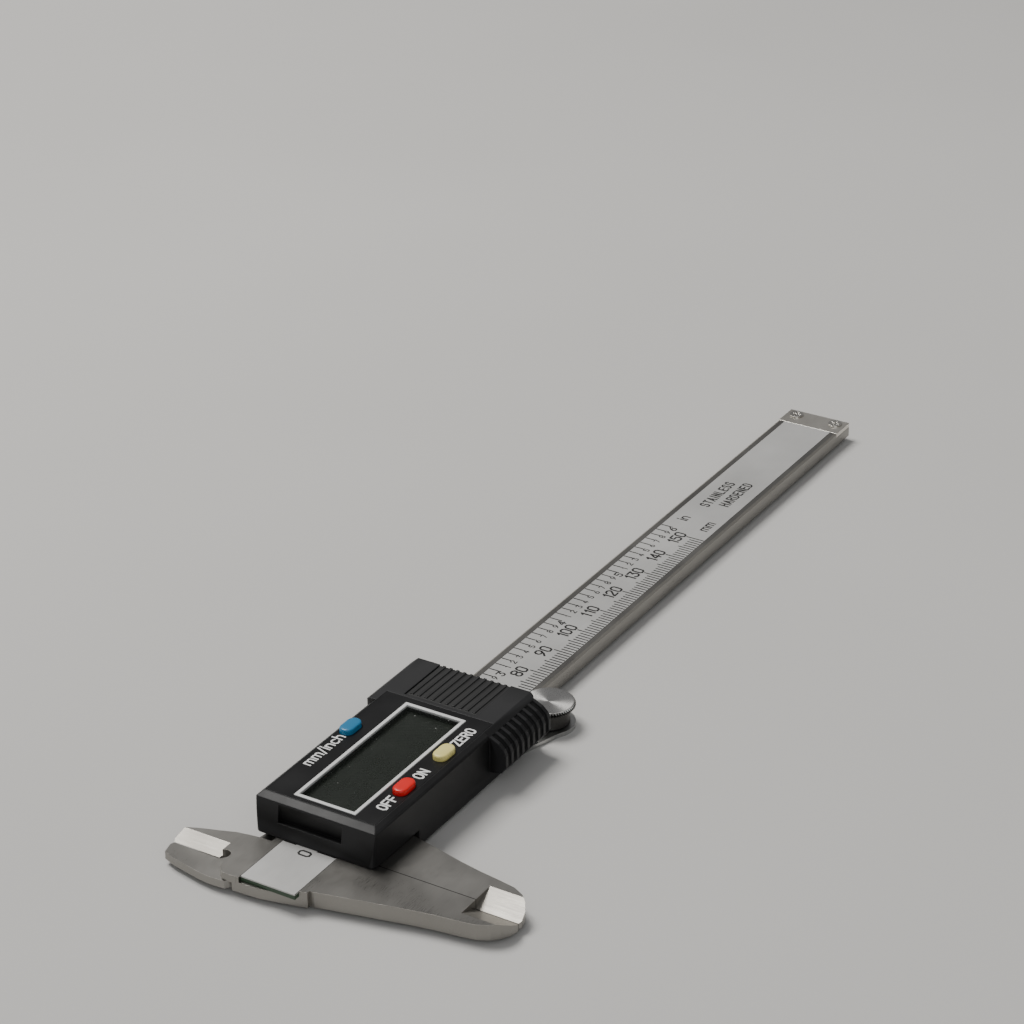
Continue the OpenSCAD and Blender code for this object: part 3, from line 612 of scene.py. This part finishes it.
def label_lettering():
    """White words beside the buttons."""
    ink = Print(LABEL_TOP, 0.015)
    ink.text("mm/inch", (18.9, 10.8), 2.2, 0.36, 1.7, 0.92)
    for words, centre, wide in (("OFF", (9.1, -10.95), 0.85), ("ON", (21.2, -10.95), 0.9),
                                ("ZERO", (37.0, -10.85), 0.85)):
        ink.text(words, centre, 2.1, 0.42, 1.6, wide)
    made = link(ink.mesh("label_lettering"), "label_lettering", "slider")
    made.data.materials.append(WHITE_INK)


def ring_wall(bm, rings, close_bottom=True):
    """Joins rings of points (bottom to top) into one skin, closed at the top."""
    rows = [[bm.verts.new(tuple(c * MM for c in p)) for p in ring] for ring in rings]
    for low, high in zip(rows, rows[1:]):
        count = len(low)
        for i in range(count):
            j = (i + 1) % count
            bm.faces.new((low[i], low[j], high[j], high[i]))
    if close_bottom:
        bm.faces.new(rows[0][::-1])
    bm.faces.new(rows[-1])
    return rows


def capsule_ring(cx, cy, length, width, z, steps=14):
    """Points round a capsule that lies along X."""
    radius = width / 2
    reach = length / 2 - radius
    points = []
    for sign, start in ((1, -math.pi / 2), (-1, math.pi / 2)):
        for k in range(steps + 1):
            t = start + math.pi * k / steps
            points.append((cx + sign * reach + radius * math.cos(t), cy + radius * math.sin(t), z))
    return points


def smooth(mesh, angle=32):
    for poly in mesh.polygons:
        poly.use_smooth = True
    bm = bmesh.new()
    bm.from_mesh(mesh)
    for edge in bm.edges:
        if len(edge.link_faces) == 2 and edge.calc_face_angle(0) > math.radians(angle):
            edge.smooth = False
    bm.to_mesh(mesh)
    bm.free()


def push_button(node, body, material):
    """A moulded button: rounded cap on a flange with a stem, in place of its plain node."""
    low, high = span(node)
    cx, cy = (low[0] + high[0]) / 2, (low[1] + high[1]) / 2
    top = high[2]
    length, width = CAP_SIZE
    bm = bmesh.new()
    stem_sides = 20
    stem = [(cx + math.cos(2 * math.pi * k / stem_sides), cy + math.sin(2 * math.pi * k / stem_sides))
            for k in range(stem_sides)]
    ring_wall(bm, [[(x, y, low[2]) for x, y in stem], [(x, y, FLANGE_LOW + 0.3) for x, y in stem]])
    ring_wall(bm, [capsule_ring(cx, cy, high[0] - low[0], high[1] - low[1], FLANGE_LOW),
                   capsule_ring(cx, cy, high[0] - low[0], high[1] - low[1], FLANGE_TOP)])
    # straight walls, a small round and a nearly flat top: (inset, part of the height)
    steps = ((0.0, 0.0), (0.0, 0.80), (0.03, 0.87), (0.10, 0.925), (0.22, 0.96), (0.40, 0.98),
             (0.75, 0.993), (1.15, 1.0))
    base = FLANGE_TOP - 0.1
    rings = []
    for inset, part in steps:
        z = base + (top - base) * part
        rings.append(capsule_ring(cx, cy, length - 2 * inset, width - 2 * inset, z))
    ring_wall(bm, rings)
    mesh = bpy.data.meshes.new(node + "_cap")
    bm.to_mesh(mesh)
    bm.free()
    smooth(mesh, 50)
    link(mesh, node + "_cap", body, (node,))
    mesh.materials.append(material)


def turned_roller():
    """Thumb roller: dished cap, straight knurling with bright tips, and painted shade on the neck and
    in the grooves between the knurl teeth.
    """
    cx = (ROLLER_LO[0] + ROLLER_HI[0]) / 2
    cy = (ROLLER_LO[1] + ROLLER_HI[1]) / 2
    top = ROLLER_HI[2]
    rim = (ROLLER_HI[0] - ROLLER_LO[0]) / 2
    teeth = 58
    tooth_cuts = (0.34, 0.2, 0.0, 0.2)
    around = teeth * len(tooth_cuts)
    neck = NECK_R
    bore = AXLE_R
    # (radius, height) from the bottom up, with the share of the tooth cut where there is one
    shape = ((bore, 1.05), (neck - 0.2, 1.05), (neck, 1.25), (neck, 4.55), (rim - 0.55, 4.72),
             (rim - 0.30, 4.76, 0.3), (rim - 0.14, 4.82, 1), (rim, 4.96, 1), (rim, 5.46, 1),
             (rim - 0.14, 5.62, 1), (rim - 0.30, 5.72, 0.5), (rim - 0.42, top), (rim - 0.7, top),
             (1.5, top - 0.14), (0.9, top - 0.15))
    bm = bmesh.new()
    rings = []
    for point in shape:
        radius, z = point[0], point[1]
        depth = point[2] if len(point) > 2 else 0.0
        ring = []
        for k in range(around):
            t = 2 * math.pi * k / around
            cut = depth * tooth_cuts[k % len(tooth_cuts)]
            ring.append((cx + (radius - cut) * math.cos(t), cy + (radius - cut) * math.sin(t), z))
        rings.append(ring)
    rows = ring_wall(bm, rings, close_bottom=False)
    # bore for the axle
    inner = [bm.verts.new(((cx + bore * math.cos(2 * math.pi * k / around)) * MM,
                           (cy + bore * math.sin(2 * math.pi * k / around)) * MM, 4.9 * MM))
             for k in range(around)]
    for i in range(around):
        j = (i + 1) % around
        bm.faces.new((inner[i], inner[j], rows[0][j], rows[0][i]))
    bm.faces.new(inner[::-1])
    bmesh.ops.recalc_face_normals(bm, faces=bm.faces)
    mesh = bpy.data.meshes.new("turned_roller")
    bm.to_mesh(mesh)
    bm.free()
    smooth(mesh, 22)
    mesh.materials.append(TURNED)
    mesh.materials.append(PAINTED_SHADE_STEEL)
    for poly in mesh.polygons:
        dx, dy = poly.center.x / MM - cx, poly.center.y / MM - cy
        sector = int(math.atan2(dy, dx) % (2 * math.pi) / (2 * math.pi) * around)
        in_gap = sector % len(tooth_cuts) in (0, 3) or abs(poly.normal.z) < 0.3
        on_rim = math.hypot(dx, dy) > rim - 0.42
        # the neck and the grooves between the knurl teeth get the painted shade material
        if poly.center.z < 4.7 * MM or (on_rim and in_gap):
            poly.material_index = 1
    link(mesh, "turned_roller", "roller", ("thumb_roller",))


def dress_nodes():
    """Materials and small edge rounding of the CAD nodes that stay."""
    looks = {
        "beam": (BEAM_STEEL, 0.025), "scale_board": (GREEN, 0), "scale_cover": (SCALE_PRINT, 0),
        "end_block": (END_STEEL, 0.12), "rod_keeper": (PLATE_STEEL, 0.1),
        "end_screws": (SCREW_STEEL, 0.12), "slider_frame": (JAW_STEEL, 0.025),
        "back_plate": (PLATE_STEEL, 0.12), "plate_screws": (SCREW_STEEL, 0.05),
        "gib_strip": (BRASS, 0.05), "gib_screws": (SCREW_STEEL, 0.05), "lock_screw": (CHROME, 0.08),
        "depth_rod": (ROD_STEEL, 0.08), "rod_shim": (PLATE_STEEL, 0), "rod_rivets": (SCREW_STEEL, 0.05),
        "housing": (HEAD_PLASTIC, 0.25), "housing_screws": (SCREW_STEEL, 0.05),
        "face_label": (LABEL, 0), "lcd_frame": (WHITE_FRAME, 0.12), "lcd_window": (WINDOW, 0),
        "lcd_panel": (LCD, 0), "lcd_holder": (PALE_PLASTIC, 0.05), "zebra_strips": (RUBBER, 0.1),
        "circuit_board": (GREEN, 0), "board_screws": (SCREW_STEEL, 0.05),
        "controller_chip": (BLACK_CHIP, 0.1), "button_switches": (BLACK_CHIP, 0.1),
        "battery_cell": (CHROME, 0.3), "contact_spring": (BRASS, 0), "contact_tab": (BRASS, 0),
        "battery_cover": (COVER_PLASTIC, 0.1), "roller_axle": (SCREW_STEEL, 0.1),
    }
    for node, (material, bevel) in looks.items():
        paint_node(node, material)
        if bevel:
            crisp(node, bevel)


camera()
studio()
floor()
dress_nodes()
push_button("button_mode", "mode_button", BLUE)
push_button("button_zero", "zero_button", CREAM)
push_button("button_power", "power_button", RED)
turned_roller()
scale_marks()
label_lettering()
